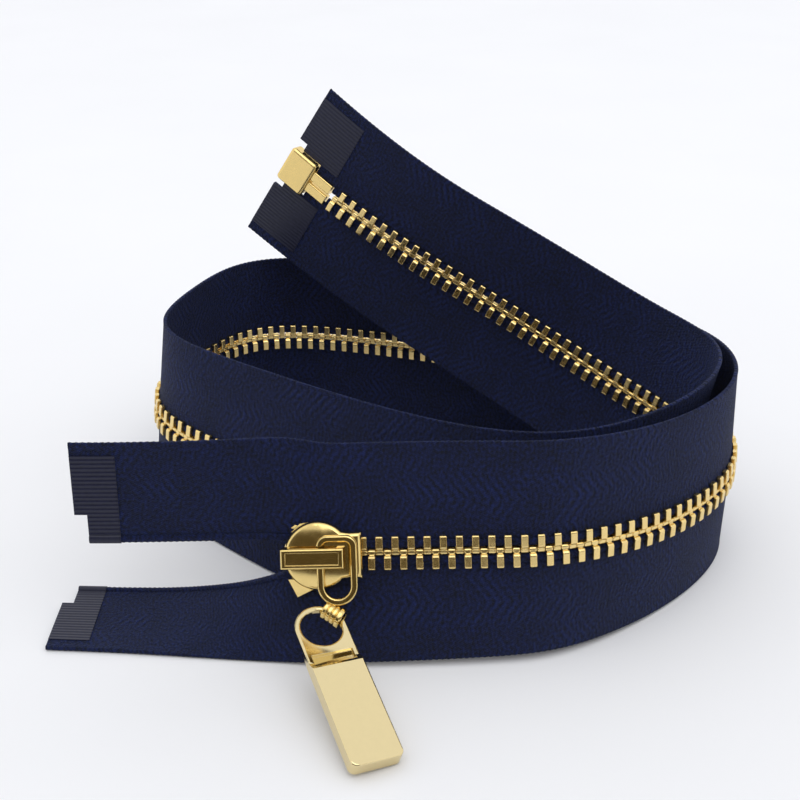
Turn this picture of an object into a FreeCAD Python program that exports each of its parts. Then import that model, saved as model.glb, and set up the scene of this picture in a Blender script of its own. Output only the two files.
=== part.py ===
import FreeCAD, Part
import os
import Sketcher
from math import cos, radians, sin
from FreeCAD import Placement, Rotation, Vector

# An open-end metal zipper, closed and loosely coiled, standing on the long edge of
# its tape.  +Z is up, +X runs along the front of the coil from the slider towards
# the turn, and +Y points to the back of the coil.  The origin lies on the resting
# plane, below the middle of the object's box.

doc = FreeCAD.newDocument("zipper")

# ---------------------------------------------------------------- driving sizes, mm
SIZES = {
    # tape and chain
    "tape_reach": 17.35,        # from the chain's middle line to the tape's outer edge
    "tape_thickness": 0.6,
    "web_start": 1.95,          # from the middle line to where the flat tape begins
    "bead_offset": 1.35,        # from the middle line to the bead cord's centre
    "bead_radius": 0.6,
    "tooth_pitch": 2.5,
    "tooth_width": 1.0,
    "tooth_tip": 2.65,          # from the middle line to the end of a tooth's legs
    "tooth_head": 0.35,         # how far a tooth reaches over the middle line
    "head_width": 1.1,
    "chain_half": 1.3,          # half the chain's thickness
    "stop_length": 2.0,
    "stop_head": 0.66,          # a top stop's reach inwards from the bead's centre
    # ends of the tape
    "top_film": 6.7,             # length of the films at the tapes' free ends
    "bottom_film": 10.5,        # length of the films beside the retainer box
    "film_thickness": 0.12,
    "film_edge": 15.3,
    "notch_depth": 1.9,
    "notch_edge": 5.5,
    "notch_round": 0.9,
    # retainer box and pins
    "box_length": 6.3,
    "box_width": 7.4,
    "box_thickness": 3.3,
    "pin_length": 4.7,
    "pin_width": 2.0,
    "pin_half": 0.95,
    "pin_depth": 4.9,
    # slider
    "plate_gap": 1.5,           # from the chain's plane to a plate's inner face
    "plate_thickness": 1.2,
    "crown_radius": 5.35,
    "crown_back": 0.9,
    "tail_length": 6.05,
    "tail_half": 3.6,
    "throat_half": 2.95,
    "mouth_half": 4.3,
    "flange_wall": 0.5,
    "flange_slot": 0.7,        # half the slot that the tape passes through
    "diamond_half": 1.5,
    "diamond_length": 3.6,
    "cap_length": 9.7,
    "cap_width": 3.1,
    "cap_leg": 1.2,
    "cap_rise": 2.1,            # clear height under the cap
    "cap_thickness": 0.95,
    "panel_depth": 0.3,
    "rail_width": 0.6,
    "spring_thickness": 0.25,
    "spring_width": 1.4,
    "pawl_width": 0.9,
    # pull
    "loop_width": 6.3,
    "loop_length": 10.9,
    "loop_wire": 1.1,
    "loop_left": 0.9,           # from the slider's middle to the loop's near side
    "clip_radius": 1.6,
    "clip_bore": 1.05,
    "rib_width": 0.8,
    "collar_width": 0.9,
    "puller_length": 23.9,      # from the eye's centre to the free end
    "puller_width": 8.2,
    "puller_thickness": 2.5,
    "eye_thickness": 1.0,
    "eye_radius": 3.2,
}

dims = doc.addObject("Spreadsheet::Sheet", "dims")
for row, (alias, value) in enumerate(SIZES.items(), start=1):
    dims.set("A%d" % row, alias)
    dims.set("B%d" % row, str(value))
    dims.setAlias("B%d" % row, alias)
doc.recompute()


def size(alias):
    """A driving size, read back from the sheet."""
    return float(getattr(dims, alias))


# ------------------------------------------------------------------ the tape's route
# Where the middle of the object's box lies in the coordinates of the lists below.
MIDDLE = Vector(2.27, 32.79, -0.11)

# The straight stretch that the slider runs along, as shares of its length.
RUN_START = Vector(-11.0, 7.0, 16.2)
RUN_END = Vector(26.0, 5.1, 18.4)
RUN_SHARES = (0.0, 0.11, 0.27, 0.51, 0.73, 1.0)
RUN_LEANS = (25.0, 25.0, 24.0, 21.0, 17.5, 12.0)

# The coil after it: x, y, height of the lower edge, lean of the upper and lower tape.
COIL = [
    (44.3, 13.2, 0.0, 9, -1), (59.2, 29.5, 0.0, 4, -1), (60.0, 48.6, 0.0, 0, 2),
    (45.0, 65.0, 0.0, -1, 1), (21.6, 76.6, 0.0, -1, 0), (-2.4, 84.7, 0.0, -3, 0),
    (-21.6, 89.6, 0.0, -4, 1), (-34.1, 86.7, 0.0, 0, 2), (-41.9, 74.0, 0.0, 6, 4),
    (-47.1, 59.3, 0.0, 7, 6), (-42.9, 46.8, 0.0, 10, 7), (-28.6, 35.1, 0.0, 17, 11),
    (-10.4, 22.6, 0.0, 21, 19), (8.7, 12.8, 0.0, 21, 21), (26.6, 10.0, 0.0, 14, 17),
    (41.4, 17.4, 0.0, 6, 7), (51.4, 29.3, 2.0, -6, -3), (52.0, 42.2, 3.0, -21, -10),
    (43.2, 54.9, 3.7, -18, -13), (30.0, 65.6, 9.2, -7, -10), (12.9, 70.7, 18.5, 1, -3),
    (-5.7, 75.9, 28.3, 1, 0), (-21.7, 84.3, 39.6, -6, -5),
]

# The free tails: x, y, z of the middle line, then y, z of the tape's outer edge.
UPPER_TAIL = [
    (-49.3, 5.0, 18.9, 7.0, 36.1), (-44.0, 5.4, 18.6, 7.5, 35.8),
    (-38.0, 6.0, 18.3, 8.3, 35.5), (-32.0, 6.8, 17.9, 9.3, 35.1),
    (-25.0, 7.6, 17.5, 11.2, 34.4), (-18.5, 8.0, 17.2, 13.9, 33.4),
    (-14.5, 7.45, 16.7, 14.8, 32.35),
]
LOWER_TAIL = [
    (-56.3, 20.3, 0.6, 3.3, 0.4), (-47.0, 20.0, 0.6, 2.8, 0.4),
    (-39.0, 19.3, 1.0, 2.1, 0.4), (-31.0, 15.3, 4.6, 1.3, 0.3),
    (-24.5, 10.4, 9.0, 0.8, 0.1), (-18.5, 6.5, 13.6, 0.4, 0.1),
    (-14.5, 6.8, 15.15, -0.1, 0.3),
]
UP = Vector(0, 0, 1)
DEGREE = 3


def unit(vector):
    return vector * (1.0 / vector.Length)


def leaning(along, lean):
    """The direction across a tape that runs along a vector and leans to its left."""
    left = unit(UP.cross(along))
    raised = left * sin(radians(lean)) + UP * cos(radians(lean))
    return unit(raised - along * (raised.dot(along) / along.dot(along)))


def run_points():
    """Middle-line points of the straight stretch."""
    return [RUN_START + (RUN_END - RUN_START) * share for share in RUN_SHARES]


def chain_points():
    """Middle-line points from the slider to the retainer box, with both leans."""
    points = [(point, lean, lean) for point, lean in zip(run_points(), RUN_LEANS)]
    for x, y, foot, upper, lower in COIL:
        height = foot + size("tape_reach") * cos(radians(lower))
        points.append((Vector(x, y, height), upper, lower))
    return points


class Tape:
    """One tape: the middle line, the outer edge and the normal at each route point."""

    def __init__(self, tail, side):
        self.side = side
        self.line = [Vector(x, y, z) - MIDDLE for x, y, z, _, _ in tail]
        self.edge = [Vector(x, y, z) - MIDDLE for x, _, _, y, z in tail]
        chain = chain_points()
        middle = [point for point, _, _ in chain]
        before = [middle[0] - (middle[1] - middle[0])] + middle[:-1]
        after = middle[1:] + [middle[-1] + (middle[-1] - middle[-2])]
        for index, (point, upper, lower) in enumerate(chain):
            lean = upper if side > 0 else lower
            across = leaning(after[index] - before[index], lean) * side
            self.line.append(point - MIDDLE)
            self.edge.append(point - MIDDLE + across * size("tape_reach"))
        count = len(self.line)
        self.normals = []
        for index in range(count):
            ahead = self.line[min(index + 1, count - 1)] - self.line[max(index - 1, 0)]
            across = self.edge[index] - self.line[index]
            self.normals.append(unit(ahead.cross(across)) * side)
        self.line_curve = spline(self.line)
        self.edge_curve = spline(self.edge)
        self.path = self.line_curve.toShape()

    def row(self, reach, out):
        """Control points at a distance from the middle line and from the mid surface."""
        share = reach / size("tape_reach")
        points = []
        for line, edge, normal in zip(self.line, self.edge, self.normals):
            points.append(line + (edge - line) * share + normal * out)
        return points

    def frame(self, length):
        """Origin and axes (along, across, normal) at a length along the middle line."""
        parameter = self.path.getParameterByLength(length)
        origin = self.line_curve.value(parameter)
        along = unit(self.line_curve.tangent(parameter)[0])
        across = self.edge_curve.value(parameter) - origin
        across = unit(across - along * across.dot(along))
        return origin, along, across, along.cross(across)


def knots(count):
    """Knots and multiplicities of a clamped cubic spline with a number of points."""
    spans = count - DEGREE
    values = [index / spans for index in range(spans + 1)]
    return values, [DEGREE + 1] + [1] * (spans - 1) + [DEGREE + 1]


def spline(points):
    values, multiplicities = knots(len(points))
    curve = Part.BSplineCurve()
    curve.buildFromPolesMultsKnots(points, multiplicities, values, False, DEGREE)
    return curve


def ruled_face(first, second):
    """The face between two splines with the same number of control points."""
    values, multiplicities = knots(len(first))
    surface = Part.BSplineSurface()
    surface.buildFromPolesMultsKnots(
        [first, second], [2, 2], multiplicities, [0, 1], values, False, False, 1, DEGREE)
    return surface.toShape()


def strip(rows):
    """A closed solid whose section's corners follow rows of spline control points."""
    faces = []
    for index, row in enumerate(rows):
        faces.append(ruled_face(row, rows[(index + 1) % len(rows)]))
    for end in (0, -1):
        corners = [row[end] for row in rows]
        faces.append(Part.Face(Part.makePolygon(corners + corners[:1])))
    shell = Part.makeShell(faces)
    shell.sewShape()
    solid = Part.makeSolid(shell)
    if solid.Volume < 0:
        solid.reverse()
    return solid


def axes_placement(origin, along, across, normal):
    return Placement(origin, Rotation(along, across, normal, "XYZ"))


def feature(label, shape, placement=None):
    """A sub-part whose shape is computed, with its placement set after the shape."""
    item = doc.addObject("Part::Feature", label)
    item.Label = label
    item.Shape = shape
    if placement is not None:
        item.Placement = placement
    return item


UPPER = Tape(UPPER_TAIL, 1)
LOWER = Tape(LOWER_TAIL, -1)

# ------------------------------------------------------------------------- end frames
# A box-shaped cutter for the notch and the retainer box, in a tape end's own frame.


def end_cutter(length, reach):
    """Removes the tape's inner corner at an end, rounded where the notch turns."""
    deep = 4.0
    cutter = Part.makeBox(length + deep, 2 * reach, deep, Vector(-deep, -reach, -deep / 2))
    corners = [edge for edge in cutter.Edges
               if abs(edge.CenterOfMass.x - length) < 1e-6 and abs(edge.CenterOfMass.z) < 1e-6]
    return cutter.makeFillet(size("notch_round"), corners)


def tail_frame(tape):
    return axes_placement(*tape.frame(0.0))


def box_frame():
    """At the chain's far end, the X axis pointing back along the chain."""
    origin, along, upper, _ = UPPER.frame(UPPER.path.Length)
    lower = LOWER.frame(LOWER.path.Length)[2]
    across = unit(upper - lower)
    along = unit(along - across * along.dot(across))
    return axes_placement(origin, along * -1, across, across.cross(along))


BOX = box_frame()


def tape_solid(tape):
    half = size("tape_thickness") / 2
    inner = size("web_start")
    outer = size("tape_reach")
    solid = strip([tape.row(inner, half), tape.row(inner, -half),
                   tape.row(outer, -half), tape.row(outer, half)])
    notch = end_cutter(size("notch_depth"), size("notch_edge"))
    clearance = 0.15
    recess = end_cutter(size("box_length") + clearance, size("box_width") / 2 + clearance)
    for cutter, placement in ((notch, tail_frame(tape)), (notch, BOX), (recess, BOX)):
        moved = cutter.copy()
        moved.Placement = placement
        solid = solid.cut(moved)
    return solid


def bead_solid(tape):
    """The bead cord woven into the tape's inner edge, as an eight-sided strip."""
    corners = 8
    radius = size("bead_radius")
    rows = []
    for corner in range(corners):
        angle = radians(360.0 * (corner + 0.5) / corners)
        rows.append(tape.row(size("bead_offset") + radius * cos(angle), radius * sin(angle)))
    solid = strip(rows)
    recess = end_cutter(size("box_length") + size("pin_length"), size("box_width") / 2)
    recess.Placement = BOX
    start = end_cutter(size("notch_depth"), size("notch_edge"))
    start.Placement = tail_frame(tape)
    return solid.cut(recess).cut(start)


# ------------------------------------------------------------------------------ teeth
def tooth_profile(length, head):
    """A clamp with two legs over the bead, extruded along the chain.

    The head is how far it reaches from the bead's offset back over the middle line.
    """
    offset = size("bead_offset")
    out = size("chain_half")
    tip = size("tooth_tip") - offset
    back = -head
    cavity = size("bead_radius") + 0.03
    slot = size("tape_thickness") / 2 + 0.04
    bevel = 0.35
    half = [(back, 0.0), (back, 0.75), (back + bevel, 0.95), (back + bevel + 0.3, out),
            (tip - bevel, out), (tip, out - bevel), (tip, slot), (cavity, slot),
            (cavity, cavity), (-cavity, cavity), (-cavity, 0.0)]
    outline = half + [(y, -z) for y, z in reversed(half[1:-1])]
    points = [Vector(-length / 2, y, z) for y, z in outline]
    face = Part.Face(Part.makePolygon(points + points[:1]))
    return face.extrude(Vector(length, 0, 0))


def tooth_solid():
    """One tooth: the clamp and the wider head that locks over the middle line."""
    width = size("head_width")
    back = -size("bead_offset") - size("tooth_head")
    clamp = tooth_profile(size("tooth_width"), -back)
    head = Part.makeBox(width, 0.75, 1.3, Vector(-width / 2, back, -0.65))
    corners = [edge for edge in head.Edges if abs(edge.CenterOfMass.y - back) < 1e-6]
    return clamp.fuse(head.makeChamfer(0.16, corners)).removeSplitter()


def set_along(tape, shape, lengths):
    """Copies of a shape with its origin on the bead, at lengths along a tape."""
    solids = []
    for length in lengths:
        origin, along, across, normal = tape.frame(length)
        copy = shape.copy()
        copy.Placement = axes_placement(origin + across * size("bead_offset"), along, across, normal)
        solids.append(copy)
    return solids


def length_at(tape, x):
    """Length along a tape's middle line where the straight stretch reaches an x."""
    low, high = 0.0, tape.path.Length / 4
    while high - low > 1e-4:
        middle = (low + high) / 2
        if tape.frame(middle)[0].x < x:
            low = middle
        else:
            high = middle
    return low


# The first upper tooth past the slider stands at this x; the lower row is half a
# pitch further back.  The teeth inside the slider are counted back from there.
FIRST_TOOTH = -2.7 - MIDDLE.x
HIDDEN_TEETH = 3


def tooth_lengths(tape):
    pitch = size("tooth_pitch")
    shift = 0.0 if tape.side > 0 else -pitch / 2
    start = length_at(tape, FIRST_TOOTH) + shift - HIDDEN_TEETH * pitch
    last = tape.path.Length - size("box_length") - size("pin_length") - size("tooth_width") / 2
    count = int((last - start) / pitch) + 1
    return [start + index * pitch for index in range(count)]


def teeth(label, tape):
    lengths = tooth_lengths(tape)
    feature(label, Part.makeCompound(set_along(tape, tooth_solid(), lengths)))
    return lengths


def top_stop(label, tape, first):
    gap = size("tooth_width") / 2 + size("stop_length") / 2 + 0.6
    clamp = tooth_profile(size("stop_length"), size("stop_head"))
    feature(label, set_along(tape, clamp, [first - gap])[0])


# ------------------------------------------------------------------------------ films
def film_skin(tape, inner, length, side, end):
    """One skin of a reinforcing film: a thin strip on the tape, kept near its end."""
    near = side * (size("tape_thickness") / 2 + 0.02)
    far = near + side * size("film_thickness")
    outer = size("film_edge")
    skin = strip([tape.row(inner, near), tape.row(outer, near),
                  tape.row(outer, far), tape.row(inner, far)])
    reach = 2 * size("tape_reach")
    keep = Part.makeBox(2 * length, reach, length, Vector(-length, -reach / 2, -length / 2))
    keep.Placement = end
    notch = end_cutter(size("notch_depth"), size("notch_edge"))
    notch.Placement = end
    return skin.common(keep).cut(notch).Solids[0]


def film(label, tape, end, inner, length):
    skins = [film_skin(tape, inner, length, side, end) for side in (1, -1)]
    feature(label, Part.makeCompound(skins))


feature("left_tape", tape_solid(UPPER))
feature("right_tape", tape_solid(LOWER))
feature("left_cord", bead_solid(UPPER))
feature("right_cord", bead_solid(LOWER))
upper_lengths = teeth("left_teeth", UPPER)
lower_lengths = teeth("right_teeth", LOWER)
top_stop("left_top_stop", UPPER, upper_lengths[0])
top_stop("right_top_stop", LOWER, lower_lengths[0])
for name, tape in (("left", UPPER), ("right", LOWER)):
    film(name + "_top_film", tape, tail_frame(tape), size("web_start") + 0.2, size("top_film"))
    film(name + "_bottom_film", tape, BOX, size("box_width") / 2 + 0.3, size("bottom_film"))


# ------------------------------------------------------- helpers for sketched bodies
def body(label, placement):
    item = doc.addObject("PartDesign::Body", label)
    item.Label = label
    item.Placement = placement
    return item


def sketch(owner, name, role, height="0"):
    """An empty sketch on one of the body's own origin planes."""
    item = owner.newObject("Sketcher::SketchObject", name)
    plane = next(face for face in owner.Origin.OriginFeatures if face.Role == role)
    item.AttachmentSupport = [(plane, "")]
    item.MapMode = "FlatFace"
    item.setExpression("AttachmentOffset.Base.z", height)
    return item


def place_point(item, geometry, point, x_size, y_size):
    """Ties a sketch point to the origin at distances given as expressions."""
    for kind, expression in (("DistanceX", x_size), ("DistanceY", y_size)):
        value = float(item.evalExpression(expression))
        number = item.addConstraint(Sketcher.Constraint(kind, -1, 1, geometry, point, value))
        item.setExpression("Constraints[%d]" % number, expression)


def add_outline(item, corners):
    """A closed outline of straight edges whose corners are expressions."""
    points = [Vector(float(item.evalExpression(x)), float(item.evalExpression(y)), 0)
              for x, y in corners]
    first = item.GeometryCount
    count = len(points)
    for index in range(count):
        item.addGeometry(Part.LineSegment(points[index], points[(index + 1) % count]), False)
    for index in range(count):
        item.addConstraint(Sketcher.Constraint(
            "Coincident", first + index, 2, first + (index + 1) % count, 1))
    for index, (x, y) in enumerate(corners):
        place_point(item, first + index, 1, x, y)


def add_circle(item, x, y, radius):
    centre = Vector(float(item.evalExpression(x)), float(item.evalExpression(y)), 0)
    number = item.addGeometry(
        Part.Circle(centre, UP, float(item.evalExpression(radius))), False)
    place_point(item, number, 3, x, y)
    bound = item.addConstraint(Sketcher.Constraint(
        "Radius", number, float(item.evalExpression(radius))))
    item.setExpression("Constraints[%d]" % bound, radius)


def extrude(owner, kind, name, profile, length, both_ways=False, reverse=False):
    """A Pad or a Pocket of a sketch with its length bound to an expression."""
    item = owner.newObject("PartDesign::" + kind, name)
    item.Profile = profile
    item.setExpression("Length", length)
    item.Midplane = both_ways
    item.Reversed = reverse
    doc.recompute()
    return item


def round_edges(owner, name, base, radius, chosen):
    """A fillet on the edges of a feature for which chosen(edge) is true."""
    names = ["Edge%d" % (index + 1) for index, edge in enumerate(base.Shape.Edges) if chosen(edge)]
    item = owner.newObject("PartDesign::Fillet", name)
    item.Base = (base, names)
    item.Radius = radius
    doc.recompute()
    return item


def mirrored_corners(half):
    """An outline from its upper half, given as expression pairs from left to right."""
    return half + [(x, "-(" + y + ")") for x, y in reversed(half)]


# --------------------------------------------------------------- retainer box and pins
def retainer_box():
    part = body("retainer_box", BOX)
    outline = sketch(part, "box_outline", "XY_Plane")
    add_outline(outline, mirrored_corners([
        ("0", "dims.box_width / 2"), ("dims.box_length", "dims.box_width / 2")]))
    block = extrude(part, "Pad", "block", outline, "dims.box_thickness", both_ways=True)
    block = round_edges(part, "block_round", block, 0.7, lambda edge: True)
    socket = sketch(part, "socket_outline", "YZ_Plane", "dims.box_length")
    for low, high in (("0.2", "dims.pin_width + 0.3"), ("-dims.pin_width - 0.3", "-0.2")):
        add_outline(socket, [(low, "-dims.pin_half - 0.05"), (high, "-dims.pin_half - 0.05"),
                             (high, "dims.pin_half + 0.05"), (low, "dims.pin_half + 0.05")])
    extrude(part, "Pocket", "sockets", socket, "dims.pin_depth + 0.1")


def pin(label, low, high):
    """A flat pin that stands out of the box and clamps the end of a bead cord."""
    part = body(label, BOX)
    outline = sketch(part, label + "_outline", "XY_Plane")
    back = "dims.box_length - dims.pin_depth"
    front = "dims.box_length + dims.pin_length - 0.15"
    add_outline(outline, [(back, low), (front, low), (front, high), (back, high)])
    blade = extrude(part, "Pad", label + "_blade", outline, "2 * dims.pin_half", both_ways=True)
    round_edges(part, label + "_round", blade, 0.3,
                lambda edge: edge.BoundBox.XLength > size("pin_length"))


retainer_box()
pin("insertion_pin", "0.25", "dims.pin_width + 0.25")
pin("retainer_pin", "-dims.pin_width - 0.25", "-0.25")

# ----------------------------------------------------------------------------- slider
RUN_ALONG = unit(RUN_END - RUN_START)
RUN_ACROSS = leaning(RUN_ALONG, RUN_LEANS[0])
SLIDER_X = -11.3
SLIDER_ORIGIN = RUN_START + RUN_ALONG * ((SLIDER_X - RUN_START.x) / RUN_ALONG.x) - MIDDLE
# X runs along the chain towards the box, Y across it and up, Z out of the front.
SLIDER = axes_placement(SLIDER_ORIGIN, RUN_ALONG, RUN_ACROSS, RUN_ALONG.cross(RUN_ACROSS))


def slider_plate(part, name, height):
    """A plate with a round crown at the mouth and a narrower tail."""
    crown = sketch(part, name + "_crown", "XY_Plane", height)
    add_circle(crown, "-dims.crown_back", "0", "dims.crown_radius")
    extrude(part, "Pad", name + "_crown_pad", crown, "dims.plate_thickness")
    tail = sketch(part, name + "_tail", "XY_Plane", height)
    add_outline(tail, mirrored_corners([
        ("-dims.crown_back", "dims.crown_radius - 0.02"),
        ("0.6", "dims.crown_radius - 0.25"), ("1.7", "dims.tail_half + 0.65"),
        ("2.9", "dims.tail_half + 0.1"), ("4.2", "dims.tail_half - 0.08"),
        ("dims.tail_length", "dims.tail_half")]))
    return extrude(part, "Pad", name + "_tail_pad", tail, "dims.plate_thickness")


def slider_body():
    part = body("slider_body", SLIDER)
    slider_plate(part, "back", "-dims.plate_gap - dims.plate_thickness")
    front = slider_plate(part, "front", "dims.plate_gap")
    top = size("plate_gap") + size("plate_thickness")
    round_edges(part, "front_round", front, 0.6, lambda edge: (
        edge.BoundBox.ZMin > top - 1e-3 and edge.BoundBox.ZMax < top + 1e-3))
    diamond = sketch(part, "diamond_outline", "XY_Plane")
    add_outline(diamond, mirrored_corners([
        ("-5.4", "0.9"), ("-4.4", "dims.diamond_half"),
        ("-3.6", "dims.diamond_half"), ("-5.4 + dims.diamond_length + 0.8", "0.3")]))
    extrude(part, "Pad", "diamond_pad", diamond, "2 * dims.plate_gap + 0.2", both_ways=True)
    for name, height, down in (("front", "dims.plate_gap", True), ("back", "-dims.plate_gap", False)):
        walls = sketch(part, name + "_flanges", "XY_Plane", height)
        for sign in ("", "-"):
            inner = [("dims.tail_length", "%s(dims.throat_half)" % sign),
                     ("-0.4", "%s(dims.throat_half)" % sign),
                     ("-5.1", "%s(dims.mouth_half)" % sign)]
            outer = [("-4.4", "%s(dims.mouth_half + dims.flange_wall)" % sign),
                     ("0", "%s(dims.throat_half + dims.flange_wall)" % sign),
                     ("dims.tail_length", "%s(dims.throat_half + dims.flange_wall)" % sign)]
            add_outline(walls, inner + outer)
        extrude(part, "Pad", name + "_flange_pad", walls,
                "dims.plate_gap - dims.flange_slot", reverse=down)
    tips = sketch(part, "tips_outline", "XY_Plane", "dims.flange_slot + 0.15")
    add_outline(tips, [("-5.7", "-3.7"), ("-4.3", "-dims.crown_radius - 1.15"),
                       ("-1.6", "-dims.crown_radius + 0.1"), ("-3.9", "-3.7")])
    add_outline(tips, [("-5.0", "3.7"), ("-3.9", "3.7"), ("-1.6", "dims.crown_radius - 0.1"),
                       ("-3.6", "dims.crown_radius - 0.35")])
    extrude(part, "Pad", "tips_pad", tips, "dims.plate_gap - dims.flange_slot + 0.15")
    hole = sketch(part, "pawl_hole_outline", "XY_Plane",
                  "dims.plate_gap + dims.plate_thickness")
    add_outline(hole, [("0.7", "-dims.pawl_width"), ("2.1", "-dims.pawl_width"),
                       ("2.1", "dims.pawl_width"), ("0.7", "dims.pawl_width")])
    extrude(part, "Pocket", "pawl_hole", hole, "dims.plate_thickness + 0.2")


CAP_LEFT = "-6.2"
PLATE_TOP = "(dims.plate_gap + dims.plate_thickness)"


def slider_cap():
    """The bridge over the lock spring, with a sunk panel between two rails."""
    part = body("slider_cap", SLIDER)
    side = sketch(part, "cap_side", "XZ_Plane")
    right = "%s + dims.cap_length" % CAP_LEFT
    under = "%s + dims.cap_rise" % PLATE_TOP
    top = "%s + dims.cap_rise + dims.cap_thickness" % PLATE_TOP
    foot = "%s + 0.01" % PLATE_TOP
    add_outline(side, [
        (CAP_LEFT, foot), ("%s + dims.cap_leg" % CAP_LEFT, foot),
        ("%s + dims.cap_leg" % CAP_LEFT, under), (right + " - dims.cap_leg", under),
        (right + " - dims.cap_leg", foot), (right, foot), (right, top), (CAP_LEFT, top)])
    bridge = extrude(part, "Pad", "bridge", side, "dims.cap_width", both_ways=True)
    crest = size("plate_gap") + size("plate_thickness") + size("cap_rise") + size("cap_thickness")
    bridge = round_edges(part, "bridge_round", bridge, 0.3,
                         lambda edge: edge.BoundBox.ZMin > crest - 1e-3)
    panel = sketch(part, "panel_outline", "XY_Plane", top)
    edge_x = "%s + dims.rail_width + 0.15" % CAP_LEFT
    far_x = right + " - dims.rail_width - 0.15"
    add_outline(panel, mirrored_corners([
        (edge_x, "dims.cap_width / 2 - dims.rail_width"),
        (far_x, "dims.cap_width / 2 - dims.rail_width")]))
    extrude(part, "Pocket", "panel", panel, "dims.panel_depth")


def lock_spring():
    """A strip under the cap whose bent tip, the pawl, drops through the front plate."""
    part = body("lock_spring", SLIDER)
    side = sketch(part, "spring_side", "XZ_Plane")
    low = "%s + 1.5" % PLATE_TOP
    high = low + " + dims.spring_thickness"
    tip = "dims.plate_gap + 0.1"
    add_outline(side, [("-4.8", low), ("1.2", low), ("1.2", tip), ("1.6", tip),
                       ("1.6", high), ("-4.8", high)])
    extrude(part, "Pad", "strip", side, "dims.spring_width", both_ways=True)


slider_body()
slider_cap()
lock_spring()


# ------------------------------------------------------------------------------- pull
LOOP_HEIGHT = "(%s + 0.72)" % PLATE_TOP
LOOP_TOP = 3.3


def pull_loop():
    """A D-shaped band: its near side passes under the cap, its bow hangs below."""
    part = body("pull_loop", SLIDER)
    left = "-dims.loop_left"
    right = "-dims.loop_left + dims.loop_width"
    bow = "(%s - dims.loop_length)" % LOOP_TOP
    height = "%s - dims.loop_wire / 2" % LOOP_HEIGHT
    middle = "-dims.loop_left + dims.loop_width / 2"
    centre = bow + " + dims.loop_width / 2"
    wire = "dims.loop_wire"
    disc = sketch(part, "loop_disc", "XY_Plane", height)
    add_circle(disc, middle, centre, "dims.loop_width / 2")
    extrude(part, "Pad", "loop_disc_pad", disc, wire)
    outer = sketch(part, "loop_outer", "XY_Plane", height)
    add_outline(outer, [(left, centre), (right, centre), (right, "%s" % LOOP_TOP),
                        (left, "%s" % LOOP_TOP)])
    plate = extrude(part, "Pad", "loop_plate", outer, wire)
    top = height + " + " + wire
    bore = sketch(part, "loop_bore", "XY_Plane", top)
    add_circle(bore, middle, centre, "dims.loop_width / 2 - dims.loop_wire")
    extrude(part, "Pocket", "loop_bore_cut", bore, "dims.loop_wire + 0.2")
    inner = sketch(part, "loop_inner", "XY_Plane", top)
    add_outline(inner, [
        (left + " + " + wire, centre), (right + " - " + wire, centre),
        (right + " - " + wire, "%s - %s" % (LOOP_TOP, wire)),
        (left + " + " + wire, "%s - %s" % (LOOP_TOP, wire))])
    opening = extrude(part, "Pocket", "loop_opening", inner, "dims.loop_wire + 0.2")
    if opening.Shape.Volume > 0.8 * plate.Shape.Volume:
        raise RuntimeError("the pull loop's opening isn't cut")

    def upright(edge, reach):
        """A corner edge at the top of the loop, on its outside or its inside."""
        place = edge.CenterOfMass
        far = abs(place.y - (LOOP_TOP - reach)) < 1e-3
        return far and edge.BoundBox.ZLength > size("loop_wire") - 1e-3

    corner = round_edges(part, "loop_corners", opening, 1.7, lambda edge: upright(edge, 0.0))
    corner = round_edges(part, "loop_inner_corners", corner, 0.8,
                         lambda edge: upright(edge, size("loop_wire")))
    round_edges(part, "loop_soft", corner, 0.33, lambda edge: edge.BoundBox.ZLength < 1e-3)


def loop_point(x, y):
    """A point of the loop's mid plane, in the object's frame."""
    height = float(dims.evalExpression(LOOP_HEIGHT))
    return SLIDER.multVec(Vector(x, y, height))


BOW_MIDDLE = -size("loop_left") + size("loop_width") / 2
BOW_BOTTOM = LOOP_TOP - size("loop_length")
CLIP_X = BOW_MIDDLE - 0.8
CLIP_CENTRE = loop_point(CLIP_X, BOW_BOTTOM - size("clip_radius") + 0.3)

# The puller's heading, its slope down to the resting plane and its roll, in degrees.
PULLER_TURN = Rotation(-66.8, 18.9, -5.5)
# Where the clip holds the eye's rim: degrees round from the end away from the panel.
HOLD_ANGLE = 52.0


def puller_placement():
    """The eye's centre is placed so that its rim runs through the clip."""
    rim = (size("eye_radius") + size("puller_width") / 2) / 2
    radial = Vector(-cos(radians(HOLD_ANGLE)), sin(radians(HOLD_ANGLE)), 0) * rim
    return Placement(CLIP_CENTRE - PULLER_TURN.multVec(radial), PULLER_TURN)


PULLER = puller_placement()


def clip_placement():
    """The clip's bore lies along the eye's rim, and its neck points to the loop."""
    along = Vector(sin(radians(HOLD_ANGLE)), cos(radians(HOLD_ANGLE)), 0)
    bore = PULLER_TURN.multVec(along)
    neck = loop_point(CLIP_X, BOW_BOTTOM) - CLIP_CENTRE
    neck = unit(neck - bore * neck.dot(bore))
    return axes_placement(CLIP_CENTRE, bore, neck, bore.cross(neck))


CLIP = clip_placement()


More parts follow.
